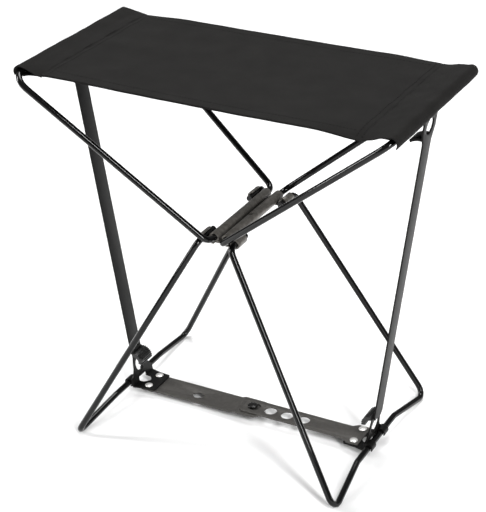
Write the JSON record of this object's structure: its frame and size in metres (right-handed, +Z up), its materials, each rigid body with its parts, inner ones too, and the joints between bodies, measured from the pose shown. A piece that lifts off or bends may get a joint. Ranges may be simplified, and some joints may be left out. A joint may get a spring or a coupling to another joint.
{
  "type": "folding camp stool",
  "caption": "Compact folding camp stool: fabric seat on bent wire loops over splayed wire feet, braced by flat side straps and a latched bottom bar.",
  "frame": {"origin": "on the floor under the middle of the seat", "axes": "+X along the seat's length, +Y from its front to its back, +Z up"},
  "size_m": [0.3164, 0.1804, 0.3097],
  "materials": {
    "black_paint": "gloss black enamel",
    "dark_plate": "satin black enamel",
    "bar_steel": "satin dark grey",
    "bright_rivet": "bright zinc",
    "saddle_steel": "mid-grey sheen on pressed steel",
    "moulded_tab": "matte black, ribbed",
    "seat_cloth": "matte charcoal woven polyester"
  },
  "bodies": {
    "hinge_saddle": {"hinge_saddle": "saddle_steel", "seat_fabric": "seat_cloth"},
    "right_foot_frame": {"right_foot_wire": "black_paint"},
    "right_seat_frame": {"right_seat_wire": "black_paint", "right_seat_sleeve": "seat_cloth"},
    "right_strap": {"right_side_strap": "dark_plate"},
    "right_bottom_link": {"right_lower_bracket": "dark_plate", "right_thumb_tab": "moulded_tab", "right_front_rivet": "bright_rivet", "right_back_rivet": "bright_rivet", "right_bottom_bar": "bar_steel"},
    "left_foot_frame": {"left_foot_wire": "black_paint"},
    "left_seat_frame": {"left_seat_wire": "black_paint", "left_seat_sleeve": "seat_cloth"},
    "left_strap": {"left_side_strap": "dark_plate"},
    "left_bottom_link": {"left_lower_bracket": "dark_plate", "left_thumb_tab": "moulded_tab", "left_front_rivet": "bright_rivet", "left_back_rivet": "bright_rivet", "left_bottom_bar": "bar_steel", "latch_stud": "bar_steel"}
  },
  "joints": [
    {"name": "right_foot_fold", "type": "hinge", "parent": "hinge_saddle", "child": "right_foot_frame", "pos_m": [0.0138, 0, 0.1844], "axis": [0, 1, 0], "range_deg": [0, 27], "deforming": ["seat_fabric"]},
    {"name": "left_foot_fold", "type": "hinge", "parent": "hinge_saddle", "child": "left_foot_frame", "pos_m": [-0.0138, 0, 0.1844], "axis": [0, -1, 0], "range_deg": [0, 27]},
    {"name": "right_seat_fold", "type": "hinge", "parent": "hinge_saddle", "child": "right_seat_frame", "pos_m": [0.0053, 0, 0.1855], "axis": [0, -1, 0], "range_deg": [0, 46.5]},
    {"name": "left_seat_fold", "type": "hinge", "parent": "hinge_saddle", "child": "left_seat_frame", "pos_m": [-0.0053, 0, 0.1855], "axis": [0, 1, 0], "range_deg": [0, 46.5]},
    {"name": "right_strap_swing", "type": "hinge", "parent": "right_seat_frame", "child": "right_strap", "pos_m": [0.153, 0, 0.3045], "axis": [0, 1, 0], "range_deg": [0, 30.5]},
    {"name": "left_strap_swing", "type": "hinge", "parent": "left_seat_frame", "child": "left_strap", "pos_m": [-0.153, 0, 0.3045], "axis": [0, -1, 0], "range_deg": [0, 30.5]},
    {"name": "right_link_swing", "type": "hinge", "parent": "right_foot_frame", "child": "right_bottom_link", "pos_m": [0.11142, 0, 0.01026], "axis": [0, 1, 0], "range_deg": [0, 68]},
    {"name": "left_link_swing", "type": "hinge", "parent": "left_foot_frame", "child": "left_bottom_link", "pos_m": [-0.11142, 0, 0.01026], "axis": [0, 1, 0], "range_deg": [0, 117]}
  ],
  "couplings": [
    {"joint": "left_foot_fold", "follows": "right_foot_fold", "ratio": 1},
    {"joint": "right_seat_fold", "follows": "right_foot_fold", "ratio": 1.7222},
    {"joint": "left_seat_fold", "follows": "right_foot_fold", "ratio": 1.7222},
    {"joint": "right_strap_swing", "follows": "right_foot_fold", "ratio": 1.1296},
    {"joint": "left_strap_swing", "follows": "right_foot_fold", "ratio": 1.1296},
    {"joint": "right_link_swing", "follows": "right_foot_fold", "ratio": 2.5185},
    {"joint": "left_link_swing", "follows": "right_foot_fold", "ratio": 4.3333}
  ]
}
